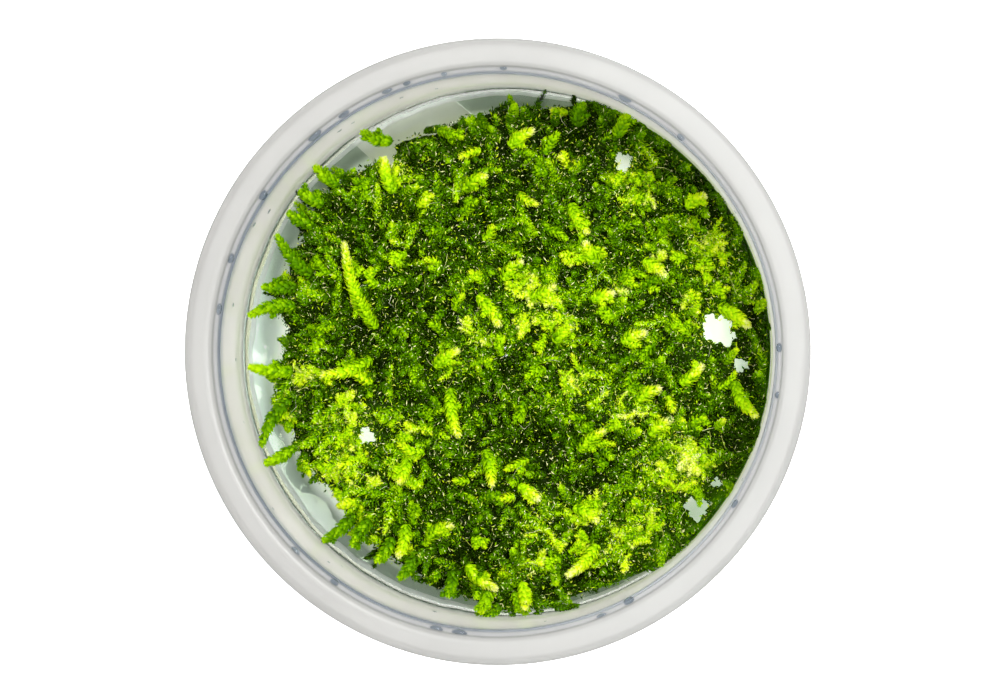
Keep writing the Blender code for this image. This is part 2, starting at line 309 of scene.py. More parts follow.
def leaf_material(name, group, painted_glints, through):
    """Wet leaf: the tone gives its green, and some light comes through from behind."""
    material, tree, shader = new_material(name)
    set_values(shader, Roughness=0.45, Specular_IOR_Level=0.03)
    greens = tree.nodes.new("ShaderNodeGroup")
    greens.node_tree = group
    greens.inputs["Flecks"].default_value = painted_glints
    tree.links.new(tone_of(tree), greens.inputs["Tone"])
    tree.links.new(greens.outputs["Color"], shader.inputs["Base Color"])
    let_through(tree, shader, greens.outputs["Color"], through)
    return material


def thread_material():
    """Old rhizoids and bleached leaf edges: pale straw, nearly white where they catch the light."""
    material, tree, shader = new_material("pale_threads")
    set_values(shader, Roughness=0.45, Specular_IOR_Level=0.05)
    tint = ramp(tree, tone_of(tree),
                (0.0, (0.62, 0.72, 0.06)), (0.5, (0.90, 0.96, 0.30)), (1.0, (0.99, 1.00, 0.74)))
    tree.links.new(tint, shader.inputs["Base Color"])
    return material


def frosted_material():
    """Translucent polypropylene: a milky rim and hazy walls. Painted shade makes the rim's groove bluish and
    darker, darkens its step and outer edge in thin lines, and darkens its left side.

    Painted light makes the inside wall paler on the far side, with a painted olive tint from the moss low
    down.
    On the outside a painted soft green band stands for the moss that shows through.
    """
    material, tree, shader = new_material("frosted_plastic")
    set_values(shader, Roughness=0.30, IOR=1.49, Transmission_Weight=0.45)
    places = object_places(tree)
    x, _, z, radius = axes_of(tree, places)
    across = maths(tree, "ADD", maths(tree, "MULTIPLY", x, 9.0), 0.5, clamp=True)
    height = maths(tree, "MULTIPLY", z, 1 / 0.040, clamp=True)

    ring = maths(tree, "MULTIPLY", maths(tree, "SUBTRACT", radius, 0.044), 1 / 0.006, clamp=True)
    # Painted shade: dark lines at the groove, at the step and at the outer edge, over the rim's own milky
    # grey.
    rim = ramp(
        tree, ring,
        (0.0, (0.78, 0.77, 0.75)), (0.05, 0.76), (0.07, (0.60, 0.64, 0.70)), (0.115, (0.60, 0.64, 0.70)),
        (0.14, (0.66, 0.66, 0.67)), (0.22, (0.66, 0.66, 0.67)), (0.25, 0.50), (0.29, (0.665, 0.665, 0.65)),
        (0.93, (0.68, 0.68, 0.665)), (0.99, (0.49, 0.49, 0.48)),
    )
    # Painted shade over the rim's left side, darkest and bluish in the groove.
    painted_left_shade = ramp(
        tree, ring,
        (0.06, 1.0), (0.075, (0.48, 0.52, 0.58)), (0.115, (0.48, 0.52, 0.58)), (0.14, (0.88, 0.88, 0.89)),
        (0.27, (0.91, 0.91, 0.90)), (0.6, (0.93, 0.925, 0.92)),
    )
    rim = mix(tree, ramp(tree, across, (0.25, 1.0), (0.75, 0.0)), rim, painted_left_shade, "MULTIPLY")

    plain_wall = ramp(tree, height, (0.0, (0.95, 0.96, 0.95)), (0.07, (0.93, 0.93, 0.92)),
                 (0.12, (0.86, 0.84, 0.82)), (0.86, (0.84, 0.82, 0.80)))
    # Painted light: on the right side the inside wall is painted paler, with a painted olive tint from the
    # moss low down.
    painted_right_wall = ramp(tree, height,
                   (0.33, (0.84, 0.86, 0.60)), (0.42, (0.95, 0.96, 0.90)), (0.55, (0.98, 0.98, 0.985)))
    not_right_side = ramp(tree, across, (0.62, 1.0), (0.86, 0.0))
    wall_slope = maths(tree, "MULTIPLY", z, 0.018)
    outside = maths(tree, "GREATER_THAN", maths(tree, "SUBTRACT", radius, wall_slope), 0.0439)
    walls = mix(tree, maths(tree, "MAXIMUM", not_right_side, outside), painted_right_wall, plain_wall)
    # Painted light: the green of the moss seen through the outer wall, laid on as a soft blotchy band.
    band = ramp(tree, height,
                (0.27, 1.0), (0.32, (0.42, 0.62, 0.20)), (0.40, (0.55, 0.74, 0.32)), (0.50, 1.0))
    blotch = maths(tree, "MULTIPLY", outside, noise(tree, places, 130.0, 4.0, 0.6))
    walls = mix(tree, blotch, walls, band, "MULTIPLY")

    in_rim = maths(tree, "GREATER_THAN", z, 0.0345)
    cloud = ramp(tree, noise(tree, places, 60.0), (0.3, 0.95), (0.7, 1.0))
    paint = mix(tree, 1.0, mix(tree, in_rim, walls, rim), cloud, "MULTIPLY")
    tree.links.new(paint, shader.inputs["Base Color"])
    ripple(tree, shader, noise(tree, places, 180.0, 2.0), 0.15, 0.0002)
    let_through(tree, shader, paint, 0.4)
    return material


def clear_material(name, cloud_scale, dark, pale, **finish):
    """Something clear whose tint drifts between two colours."""
    material, tree, shader = new_material(name)
    set_values(shader, Transmission_Weight=1.0, **finish)
    tint = ramp(tree, noise(tree, object_places(tree), cloud_scale), (0.3, dark), (0.7, pale))
    tree.links.new(tint, shader.inputs["Base Color"])
    return material


def floor_material():
    """The cup's floor is thin and polished, so what lies under it shows through with only a little haze."""
    return clear_material("clear_floor", 90.0, (0.92, 0.95, 0.93), (0.96, 0.98, 0.97),
                          Roughness=0.05, IOR=1.49)


def water_material():
    return clear_material("condensation", 300.0, (0.40, 0.48, 0.58), (0.56, 0.64, 0.72),
                          Roughness=0.08, IOR=1.33)


def gel_material():
    """Clear agar whose tint turns greener as the tone rises; the tone holds a painted green tint from the moss
    and painted streaks.
    """
    material, tree, shader = new_material("nutrient_gel")
    set_values(shader, Roughness=0.04, IOR=1.33, Transmission_Weight=1.0)
    tint = ramp(tree, tone_of(tree),
                (0.0, (0.92, 0.97, 0.93)), (0.3, (0.88, 0.95, 0.84)), (0.9, (0.84, 0.96, 0.56)))
    tree.links.new(tint, shader.inputs["Base Color"])
    ripple(tree, shader, noise(tree, object_places(tree), 240.0), 0.08, 0.0003)
    return material


def paper_material():
    """The back of a paper label: matt, off-white, with short fibres."""
    material, tree, shader = new_material("label_paper")
    set_values(shader, Roughness=0.85)
    fibres = noise(tree, object_places(tree), 900.0, 5.0, 0.7)
    tint = ramp(tree, fibres, (0.35, (0.93, 0.92, 0.86)), (0.65, (0.98, 0.97, 0.93)))
    tree.links.new(tint, shader.inputs["Base Color"])
    let_through(tree, shader, tint, 0.4)
    return material


def table_material():
    """A white table that glows, dimmer in a ring under the gel's edge and far from the cup.

    The ring gives the gel its grey-green. It is fainter on two sides and under the label.
    """
    material, tree, shader = new_material("white_table")
    set_values(shader, Roughness=0.6, Emission_Strength=1.6)
    places = object_places(tree)
    x, y, _, radius = axes_of(tree, places)
    reach = maths(tree, "MULTIPLY", radius, 10.0, clamp=True)
    ring = ramp(tree, reach, (0.35, 0.3), (0.40, 1.0), (0.434, 1.0), (0.45, 0.0))

    left = maths(tree, "SUBTRACT", maths(tree, "MULTIPLY", x, -80.0), 2.4, clamp=True)
    front = maths(tree, "MULTIPLY", y, -6.0, clamp=True)
    right = maths(tree, "SUBTRACT", maths(tree, "MULTIPLY", x, 80.0), 1.6, clamp=True)
    bright = maths(tree, "ADD", maths(tree, "ADD", left, front), right, clamp=True)
    white = ramp(tree, noise(tree, places, 30.0), (0.3, 0.94), (0.7, 0.96))
    # Painted shade: the table's colour turns grey in the same ring.
    grey = ramp(tree, bright, (0.0, (0.42, 0.46, 0.38)), (0.4, (0.38, 0.44, 0.38)),
                (0.7, (0.60, 0.65, 0.60)), (1.0, (0.95, 0.97, 0.95)))
    tree.links.new(mix(tree, ring, white, grey), shader.inputs["Base Color"])

    on_strip = maths(tree, "COMPARE", maths(tree, "ADD", x, y), 0.0208, 0.0119)
    on_half = maths(tree, "GREATER_THAN", maths(tree, "SUBTRACT", y, x), 0.0)
    on_label = maths(tree, "MULTIPLY", maths(tree, "MULTIPLY", on_strip, on_half), 0.5)
    dimmed = maths(tree, "MULTIPLY", ring, maths(tree, "SUBTRACT", 1.0, on_label))
    full_glow = ramp(tree, reach, (0.55, 1.0), (0.85, 0.12))
    ring_glow = ramp(tree, bright, (0.0, (0.0, 0.01, 0.0)), (0.3, (0.02, 0.03, 0.02)),
                     (0.7, (0.06, 0.08, 0.06)), (1.0, (0.21, 0.25, 0.23)))
    tree.links.new(mix(tree, dimmed, full_glow, ring_glow), shader.inputs["Emission Color"])
    return material


# ---------------------------------------------------------------- the carpet's shape


class Surface:
    """The top of whatever lies in the cup, found by dropping rays; None where nothing does."""

    def __init__(self, pieces):
        depsgraph = bpy.context.evaluated_depsgraph_get()
        self.trees = [BVHTree.FromObject(piece, depsgraph) for piece in pieces]

    def top(self, x, y):
        start, down = Vector((x * MM, y * MM, RIM_HEIGHT * MM)), Vector((0, 0, -1))
        hits = [tree.ray_cast(start, down)[0] for tree in self.trees]
        return max([hit.z / MM for hit in hits if hit is not None], default=None)


def height_grid(node, low, high, step):
    """Heights of a node's top on a square grid, in millimetres; NaN where the node isn't."""
    surface, places = Surface([node]), np.arange(low, high + step, step)
    return places, np.array([[surface.top(x, y) for y in places] for x in places], float)


GRID_STEP = 0.5
GRID_PLACES, MAT_GRID = height_grid(frame["nodes"]["moss_mat"], -45.0, 45.0, GRID_STEP)
INSIDE_GRID = ~np.isnan(MAT_GRID)


def grid_cell(x, y):
    last = len(GRID_PLACES) - 1
    return tuple(np.clip(np.round((v - GRID_PLACES[0]) / GRID_STEP).astype(int), 0, last) for v in (x, y))


def on_mat(x, y):
    """True where a place, in millimetres, lies over the carpet."""
    return INSIDE_GRID[grid_cell(x, y)]


def mat_height(x, y):
    """Height of the carpet's top, or a little above the gel beyond it."""
    cell = grid_cell(x, y)
    return np.where(INSIDE_GRID[cell], np.nan_to_num(MAT_GRID[cell]), GEL_TOP + 0.8)


def waves(x, y, seed, size):
    """A smooth random field between about -1 and 1, with lumps of the size given in millimetres."""
    draw = np.random.default_rng(seed)
    total = np.zeros(np.shape(x))
    for _ in range(7):
        turn, phase = draw.uniform(0, 2 * math.pi, 2)
        stretch = draw.uniform(0.7, 1.5)
        total += np.sin((x * math.cos(turn) + y * math.sin(turn)) * 2 * math.pi / (size * stretch) + phase)
    return total / 3.2


def patch_tone(x, y):
    """How much paler or darker the carpet is at a place."""
    tone = 0.07 * waves(x, y, 5, 14.0) + 0.09 * waves(x, y, 6, 5.0)
    for px, py, radius, change in PATCHES:
        tone = tone + change * np.exp(-(((x - px) ** 2 + (y - py) ** 2) / (radius * radius)))
    return tone


def gap_reach(gap, x, y):
    """How far the ragged edge of a gap lies from its middle, in the direction of each place."""
    gx, gy, radius = gap
    turn = np.arctan2(y - gy, x - gx)
    return radius * (1 + 0.22 * np.sin(3 * turn + gx) + 0.16 * np.sin(7 * turn + gy))


def in_gap(x, y, margin=0.0):
    """True inside one of the ragged gaps that show the gel."""
    found = np.zeros(np.shape(x), bool)
    for gap in GAPS:
        found |= np.hypot(x - gap[0], y - gap[1]) < gap_reach(gap, x, y) + margin
    return found


# ---------------------------------------------------------------- leafy shoots

# A leaf's outline: how far along, how far across and how far raised, as shares of its length and half width
FINE_LEAF = np.array((
    (0.0, 0.0, 0.0), (0.32, -0.85, 0.02), (0.32, 0.85, 0.02), (0.74, -0.72, 0.02), (0.74, 0.72, 0.02),
    (1.0, 0.0, -0.02), (0.38, 0.0, 0.14), (0.76, 0.0, 0.11),
))
FINE_LEAF_TRIANGLES = np.array(((0, 6, 1), (0, 2, 6), (3, 7, 5), (7, 4, 5)))
FINE_LEAF_QUADS = np.array(((1, 6, 7, 3), (6, 2, 4, 7)))
PLAIN_LEAF = np.array((
    (0.0, 0.0, 0.0), (0.5, -0.9, 0.02), (0.5, 0.9, 0.02), (1.0, 0.0, 0.0), (0.55, 0.0, 0.15),
))
PLAIN_LEAF_TRIANGLES = np.array(((0, 4, 1), (0, 2, 4), (1, 4, 3), (4, 2, 3)))
# How much darker or paler each point of a leaf is, by the leaf's number of points
LEAF_SHADE = {8: (-0.16, -0.06, -0.06, 0.03, 0.03, 0.11, -0.03, 0.05), 5: (-0.10, 0.0, 0.0, 0.14, 0.03)}
BEAD = np.array(((1, 0, 0), (-1, 0, 0), (0, 1, 0), (0, -1, 0), (0, 0, 1), (0, 0, -1)), float)
BEAD_FACES = np.array((
    (0, 2, 4), (2, 1, 4), (1, 3, 4), (3, 0, 4), (2, 0, 5), (1, 2, 5), (3, 1, 5), (0, 3, 5),
))
UP = np.array((0.0, 0.0, 1.0))
STEPS = np.array((0.0, 0.5, 1.0))  # root, middle and tip of a short shoot


def unit(vectors):
    return vectors / np.maximum(np.linalg.norm(vectors, axis=-1, keepdims=True), 1e-9)


def smooth_line(points, count):
    """Points spaced evenly along a curve that passes near the given ones."""
    points = np.asarray(points, float)
    share = np.linspace(0, len(points) - 1, 40)
    low = np.minimum(share.astype(int), len(points) - 2)
    part = (share - low)[:, None]
    before = points[np.maximum(low - 1, 0)]
    after = points[np.minimum(low + 2, len(points) - 1)]
    start, end = points[low], points[low + 1]
    curve = 0.5 * (
        2 * start + (end - before) * part + (2 * before - 5 * start + 4 * end - after) * part**2
        + (3 * start - before - 3 * end + after) * part**3
    )
    run = np.concatenate([[0], np.cumsum(np.linalg.norm(np.diff(curve, axis=0), axis=1))])
    at = np.linspace(0, run[-1], count)
    return np.stack([np.interp(at, run, curve[:, k]) for k in range(3)], axis=1), run[-1]


def frames_along(line, up):
    """Forward, upward and sideways directions at each point of a line."""
    forward = unit(np.gradient(line, axis=0))
    upward = up - (forward @ up)[:, None] * forward
    if np.linalg.norm(upward, axis=1).min() < 0.25:
        up = np.array((0.7, 0.7, 0.1))
        upward = up - (forward @ up)[:, None] * forward
    upward = unit(upward)
    return forward, upward, np.cross(forward, upward)


def grow_shoot(growth, points, width, tone, draw, pitch=0.42, ranks=6, spread=math.pi, fine=False,
               flatness=0.75, tip_glow=0.18, breadth=0.5, tip_glint=0.0, mottle=0.035):
    """Adds one shoot: a stem along the points, clothed in overlapping leaves that lean towards its tip."""
    _, length = smooth_line(points, 8)
    nodes = max(4, int(length / pitch))
    line, _ = smooth_line(points, nodes)
    forward, upward, aside = frames_along(line, UP)
    share = np.linspace(0, 1, nodes)
    swell = (0.72 + 0.28 * np.sin(math.pi * np.minimum(1, share * 1.25) ** 0.8)) * np.where(
        share > 0.8, 1 - 0.42 * ((share - 0.8) / 0.2) ** 2, 1)
    turn = (np.arange(ranks) + 0.5) / ranks * 2 * spread - spread
    node = np.repeat(np.arange(nodes), ranks)
    angle = np.tile(turn, nodes) + (node % 2) * spread / ranks + draw.normal(0, 0.12, nodes * ranks)
    outward = upward[node] * np.cos(angle)[:, None] * flatness + aside[node] * np.sin(angle)[:, None]
    reach = np.linalg.norm(outward, axis=1, keepdims=True)
    outward /= reach
    lean = np.radians(45 - 22 * share[node] ** 2 + draw.normal(0, 6, len(node)))[:, None]
    along = unit(forward[node] * np.cos(lean) + outward * np.sin(lean))
    across = unit(np.cross(forward[node], outward))
    lift = np.cross(across, along)
    size = (width * 0.46 * swell[node] * draw.uniform(0.86, 1.14, len(node)))[:, None] * (0.6 + 0.4 * reach)
    slip = draw.uniform(-0.5, 0.5, (len(node), 1))
    root = line[node] + outward * reach * width * 0.12 + forward[node] * slip * pitch
    leaf = FINE_LEAF if fine else PLAIN_LEAF
    leaf_points = (
        root[:, None, :]
        + along[:, None, :] * size[:, None, :] * leaf[None, :, 0:1]
        + across[:, None, :] * size[:, None, :] * breadth * leaf[None, :, 1:2]
        + lift[:, None, :] * size[:, None, :] * leaf[None, :, 2:3]
    )
    shade = tone + tip_glow * (share[node] ** 1.5 - 0.35) + draw.normal(0, mottle, len(node))
    tones = shade[:, None] + np.array(LEAF_SHADE[len(leaf)])[None, :]
    # Painted glint: each leaf tip is made paler, as if it caught the light.
    tones[:, 5 if fine else 3] += tip_glint * draw.uniform(0.3, 1.3, len(node))
    offsets = (np.arange(len(node)) * len(leaf))[:, None, None]
    triangles = (FINE_LEAF_TRIANGLES if fine else PLAIN_LEAF_TRIANGLES)[None] + offsets
    quads = (FINE_LEAF_QUADS[None] + offsets).reshape(-1, 4) if fine else None
    growth.add(leaf_points.reshape(-1, 3), tones.ravel(), triangles.reshape(-1, 3), quads)
    add_stem(growth, line, forward, upward, aside, width * 0.17, tone - 0.15)
    tip = np.stack([forward[-1] * 0.34, upward[-1] * 0.17 * flatness, aside[-1] * 0.17]) * width
    growth.add(BEAD @ tip + line[-1] - forward[-1] * width * 0.08, tone + tip_glow * 0.8, BEAD_FACES)


def add_stem(growth, line, forward, upward, aside, radius, tone, sides=4):
    """A thin stem with tapering ends, so that no light shows between the leaves' roots."""
    keep = np.unique(np.linspace(0, len(line) - 1, max(3, len(line) // 3)).astype(int))
    angles = ring_angles(sides)
    taper = np.ones(len(keep))
    taper[-1] = 0.3
    ring = (
        upward[keep][:, None, :] * np.cos(angles)[None, :, None]
        + aside[keep][:, None, :] * np.sin(angles)[None, :, None]
    ) * radius * taper[:, None, None]
    points = (line[keep][:, None, :] + ring).reshape(-1, 3)
    quads = []
    for i in range(len(keep) - 1):
        for k in range(sides):
            after = (k + 1) % sides
            quads.append((i * sides + k, i * sides + after, (i + 1) * sides + after, (i + 1) * sides + k))
    growth.add(points, tone, quads=np.array(quads))


# ---------------------------------------------------------------- pieces of moss


def scatter(spacing, seed):
    """Jittered places over the carpet, in millimetres."""
    draw = np.random.default_rng(seed)
    count = int(90 / spacing)
    base = (np.arange(count) + 0.5) * spacing - 45
    x, y = np.meshgrid(base, base)
    x = x.ravel() + draw.uniform(-0.5, 0.5, x.size) * spacing
    y = y.ravel() + draw.uniform(-0.5, 0.5, y.size) * spacing
    keep = on_mat(x, y)
    order = draw.permutation(keep.sum())
    return x[keep][order], y[keep][order], draw


def run_from(x, y, headings, length):
    """The root, middle and tip of a short shoot, seen from above."""
    return x + np.cos(headings) * length * STEPS, y + np.sin(headings) * length * STEPS


def carpet_layer(name, spacing, seed, lengths, width, rise, heights, tone, glow, pitch, ranks, spread, breadth,
                 parts=2):
    """One layer of the carpet, split into parts to keep each mesh small.

    Shoots lie at random, but at the ragged edge that stands clear of the wall they point outwards.
    """
    xs, ys, draw = scatter(spacing, seed)
    growths = [Growth() for _ in range(parts)]
    for x, y in zip(xs, ys):
        heading = draw.uniform(0, 2 * math.pi)
        ragged = x < -20 and math.hypot(x, y) > 28
        if ragged:
            heading = math.atan2(y, x) + draw.normal(0, 0.5)
        length = draw.uniform(*lengths)
        headings = heading + draw.normal(0, 0.35) * STEPS
        px, py = run_from(x, y, headings, length)
        far = np.hypot(px, py)
        if far.max() > MOSS_LIMIT and not ragged:
            pull = np.minimum(1, MOSS_BENT_TO / far)
            px, py = px * pull, py * pull
        elif not on_mat(px, py).all():
            px, py = run_from(x, y, headings, length * 0.5)
        size = width * draw.uniform(0.8, 1.15)
        off_mat = far.max() < MOSS_LIMIT and not on_mat(px[:2], py[:2]).all()
        if in_gap(px, py, size * 0.45).any() or off_mat:
            continue
        pz = mat_height(px, py) + draw.uniform(*heights) + np.array((-0.6, 0.0, 1.0)) * draw.uniform(*rise)
        local = tone + 0.7 * float(patch_tone(px[1], py[1])) + draw.normal(0, 0.13)
        growth = growths[int(draw.integers(parts))]
        grow_shoot(growth, np.stack([px, py, pz], axis=1), size, local, draw, pitch=pitch,
                   ranks=ranks, spread=spread, tip_glow=glow, breadth=breadth, tip_glint=0.24)
    return [growth.mesh(f"{name}_{number}") for number, growth in enumerate(growths, 1)]


def spine_of(node):
    """The middle line of a CAD shoot in millimetres, from its broad root to its narrow tip."""
    points = np.unique(np.array([tuple(v.co) for v in node.data.vertices]).round(7), axis=0) / MM
    middle = points.mean(0)
    flat = points[:, :2] - middle[:2]
    heading = np.linalg.svd(flat, full_matrices=False)[2][0]
    along, aside = flat @ heading, flat @ np.array((-heading[1], heading[0]))
    order = np.argsort(along)
    line = np.array([points[order[k:k + 6]].mean(0) for k in range(0, len(order) - 5, 6)])
    if np.ptp(aside[order[:6]]) < np.ptp(aside[order[-6:]]):
        line = line[::-1]
    return line


def add_lobes(growth, line, tone, draw):
    """One or two short side buds, so that a short shoot has a ragged outline."""
    length = np.linalg.norm(line[-1] - line[0])
    for _ in range(1 if length > 7 else 2):
        at = draw.uniform(0.15, 0.75)
        place = line[0] + (line[-1] - line[0]) * at
        heading = math.atan2(*(line[-1] - line[0])[1::-1]) + draw.choice((-1, 1)) * draw.uniform(0.6, 1.1)
        reach = draw.uniform(1.2, 1.7)
        rise = draw.uniform(-0.2, 0.3)
        tip = place + np.array((math.cos(heading) * reach, math.sin(heading) * reach, rise))
        grow_shoot(growth, np.stack([place, (place + tip) / 2, tip]), 1.8, tone - 0.05, draw, pitch=0.34,
                   ranks=7, fine=True, flatness=0.7, tip_glow=0.05)


def build_tufts(material):
    """Small bright tufts: pale clusters in the light patches, and lime tips scattered over the rest."""
    draw = np.random.default_rng(66)
    places = []
    for px, py, radius, change in PATCHES:
        if change > 0.28:
            for _ in range(int(2 + radius * radius * 0.36)):
                far, turn = radius * 0.85 * math.sqrt(draw.uniform()), draw.uniform(0, 2 * math.pi)
                x, y = px + far * math.cos(turn), py + far * math.sin(turn)
                places.append((x, y, draw.uniform(0.8, 1.08), 1.5))
    xs, ys, _ = scatter(7.4, 67)
    places += [(x, y, draw.uniform(0.55, 0.92), 2.2) for x, y in zip(xs, ys)]
    growth = Growth()
    for x, y, tone, width in places:
        if in_gap(x, y, 0.8) or math.hypot(x, y) > 41.5:
            continue
        headings = draw.uniform(0, 2 * math.pi) + draw.normal(0, 0.6) * STEPS
        px, py = run_from(x, y, headings, draw.uniform(0.9, 1.9) * width)
        pz = mat_height(px, py) + draw.uniform(-0.2, 0.5) + draw.uniform(0, 0.8) * STEPS
        line = np.stack([px, py, pz], axis=1)
        grow_shoot(growth, line, width * draw.uniform(0.85, 1.15), tone, draw, pitch=0.36, ranks=6,
                   fine=width > 2, flatness=0.7, tip_glow=0.12, breadth=0.4)
        if draw.uniform() < 0.6:
            add_lobes(growth, line, tone, draw)
    add_piece("bright_tufts", growth.mesh("bright_tufts"), material)


def build_picked_shoots(material):
    """Each shoot that stands out is its own piece, grown along the solid that stands for it in the frame."""
    for name, node in sorted(frame["nodes"].items()):
        if "_shoot_" not in name:
            continue
        line, growth, top = spine_of(node), Growth(), name.startswith("top")
        draw = np.random.default_rng(300 + sum(ord(letter) * (k + 1) for k, letter in enumerate(name)))
        tone = draw.uniform(0.74, 0.92) if top else draw.uniform(0.46, 0.70)
        grow_shoot(growth, line, 2.8, tone, draw, pitch=0.36, ranks=9, fine=True, flatness=0.62,
                   tip_glow=0.42 if top else 0.2, breadth=0.38, mottle=0.07)
        add_lobes(growth, line, tone, draw)
        add_piece(f"leafy_{name}", growth.mesh(f"leafy_{name}"), material, (name,))


def mat_outline(angle):
    """How far the carpet reaches from the axis at each angle, with single spikes taken off."""
    tried = np.arange(30, 44, 0.25)
    far = np.array([tried[on_mat(tried * math.cos(a), tried * math.sin(a))].max() for a in angle])
    around = np.stack([np.roll(far, k) for k in range(-4, 5)])
    return np.minimum(far, np.median(around, axis=0))


def build_bed(material):
    """The dark old growth underneath, with the carpet's outline and its gaps."""
    rings, steps = 96, 440
    share = np.sqrt(np.linspace(0.0004, 1, rings))
    angle = ring_angles(steps)
    reach = mat_outline(angle) - 0.6
    pressed = np.mean([np.roll(reach > 41.2, k) for k in range(-12, 13)], axis=0) > 0.7
    share_in = np.mean([np.roll(pressed, k) for k in range(-16, 17)], axis=0)
    reach = reach + (WALL_RADIUS - 0.15 - reach) * share_in
    x = share[:, None] * reach[None] * np.cos(angle)[None]
    y = share[:, None] * reach[None] * np.sin(angle)[None]
    for gap in GAPS:
        away, edge = np.hypot(x - gap[0], y - gap[1]), gap_reach(gap, x, y) + 0.2
        pull = np.where(np.abs(away - edge) < 0.32, edge / np.maximum(away, 0.01), 1)
        x, y = gap[0] + (x - gap[0]) * pull, gap[1] + (y - gap[1]) * pull
    z = mat_height(x, y) - 1.5 + 0.35 * waves(x, y, 21, 2.6) + 0.2 * waves(x, y, 22, 1.2)
    z[-1] = np.where(pressed, GEL_TOP + 1.6, GEL_TOP + 0.35)
    points = np.stack([x, y, z], axis=-1).reshape(-1, 3)
    quads = ring_quads(rings, steps)
    middle = points[quads].mean(1)
    quads = quads[~in_gap(middle[:, 0], middle[:, 1], 0.2)]
    growth = Growth()
    tone = 0.06 + 0.6 * np.clip(patch_tone(points[:, 0], points[:, 1]), -0.1, 0.6)
    # Painted light: the bed is painted paler where it meets the wall, against the shade there.
    tone = tone + 0.34 * np.clip((np.hypot(points[:, 0], points[:, 1]) - 41.0) / 2.0, 0, 1)
    growth.add(points, tone, quads=quads)
    add_piece("carpet_bed", growth.mesh("carpet_bed"), material, ("moss_mat",))


def build_carpet(material):
    under = carpet_layer("carpet_under", spacing=2.4, seed=41, lengths=(3.5, 6.5), width=1.9, rise=(0.0, 0.4),
                         heights=(-1.2, -0.6), tone=0.22, glow=0.08, pitch=0.5, ranks=5,
                         spread=math.radians(100), breadth=0.34)
    upper = carpet_layer("carpet_upper", spacing=3.1, seed=42, lengths=(2.6, 6.0), width=2.2, rise=(0.1, 0.9),
                         heights=(-0.6, 0.1), tone=0.38, glow=0.20, pitch=0.36, ranks=6,
                         spread=math.radians(115), breadth=0.38)
    for mesh in under + upper:
        add_piece(mesh.name, mesh, material)


def build_stubble(material):
    """Single leaves of every size standing out of the old growth, some of them bleached."""
    xs, ys, draw = scatter(0.46, 51)
    keep = ~in_gap(xs, ys, 0.1)
    xs, ys = xs[keep], ys[keep]
    count = len(xs)
    heading = draw.uniform(0, 2 * math.pi, count)
    rise = np.radians(draw.uniform(5, 70, count))
    along = np.stack([np.cos(heading) * np.cos(rise), np.sin(heading) * np.cos(rise), np.sin(rise)], axis=1)
    across = unit(np.cross(along, unit(draw.normal(0, 1, (count, 3)) + np.array((0, 0, 1.5)))))
    lift = np.cross(across, along)
    size = draw.uniform(0.35, 0.95, count)[:, None, None]
    root = np.stack([xs, ys, mat_height(xs, ys) - 1.3 + draw.uniform(-0.2, 0.9, count)], axis=1)
    leaf = PLAIN_LEAF[None]
    points = root[:, None] + size * (along[:, None] * leaf[..., 0:1] + across[:, None] * 0.22 * leaf[..., 1:2]
                                     + lift[:, None] * leaf[..., 2:3])
    tone = 0.20 + patch_tone(xs, ys) + draw.normal(0, 0.12, count)
    tone = tone + np.where(draw.uniform(0, 1, count) < 0.14, draw.uniform(0.3, 0.8, count), 0)
    tones = tone[:, None] + np.array(LEAF_SHADE[5])[None]
    faces = PLAIN_LEAF_TRIANGLES[None] + (np.arange(count) * 5)[:, None, None]
    growth = Growth()
    growth.add(points.reshape(-1, 3), tones.ravel(), faces.reshape(-1, 3))
    add_piece("carpet_stubble", growth.mesh("carpet_stubble"), material)


def build_rosettes(material):
    """Shoots that stand nearly upright, seen from above as small scalloped rosettes."""
    xs, ys, draw = scatter(4.0, 61)
    growth = Growth()
    for x, y in zip(xs, ys):
        if in_gap(x, y, 1.2) or math.hypot(x, y) > 42.0:
            continue
        rise = math.radians(draw.uniform(10, 48))
        heading = draw.uniform(0, 2 * math.pi)
        length = draw.uniform(2.0, 3.8)
        px, py = run_from(x, y, heading, math.cos(rise) * length)
        if not on_mat(px, py).all():
            continue
        pz = float(mat_height(x, y)) - 0.7 + math.sin(rise) * length * STEPS
        tone = 0.42 + 0.6 * float(patch_tone(px[2], py[2])) + draw.normal(0, 0.16)
        grow_shoot(growth, np.stack([px, py, pz], axis=1), draw.uniform(1.8, 2.6), tone, draw, pitch=0.36,
                   ranks=7, flatness=1.0, tip_glow=0.25, breadth=0.42)
    add_piece("carpet_rosettes", growth.mesh("carpet_rosettes"), material)


def build_threads(material):
    """Fine pale threads and slivers of bleached leaf lying over the carpet."""
    draw = np.random.default_rng(77)
    growth = Growth()
    xs, ys, _ = scatter(6.0, 78)
    for x, y in zip(xs, ys):
        if in_gap(x, y, 0.3):
            continue
        length = draw.uniform(0.8, 4.0)
        heading = draw.uniform(0, 2 * math.pi)
        steps = np.linspace(0, 1, 5)
        headings = heading + draw.normal(0, 0.9) * steps + draw.normal(0, 0.3, 5)
        px = x + np.cumsum(np.cos(headings)) * length / 5
        py = y + np.cumsum(np.sin(headings)) * length / 5
        pz = mat_height(px, py) + draw.uniform(0.3, 1.1) + draw.normal(0, 0.12, 5)
        line, _ = smooth_line(np.stack([px, py, pz], axis=1), 10)
        radius, tone = draw.uniform(0.02, 0.045), draw.uniform(0, 1)
        add_stem(growth, line, *frames_along(line, UP), radius, tone, sides=3)
    add_piece("pale_threads", growth.mesh("pale_threads"), material)


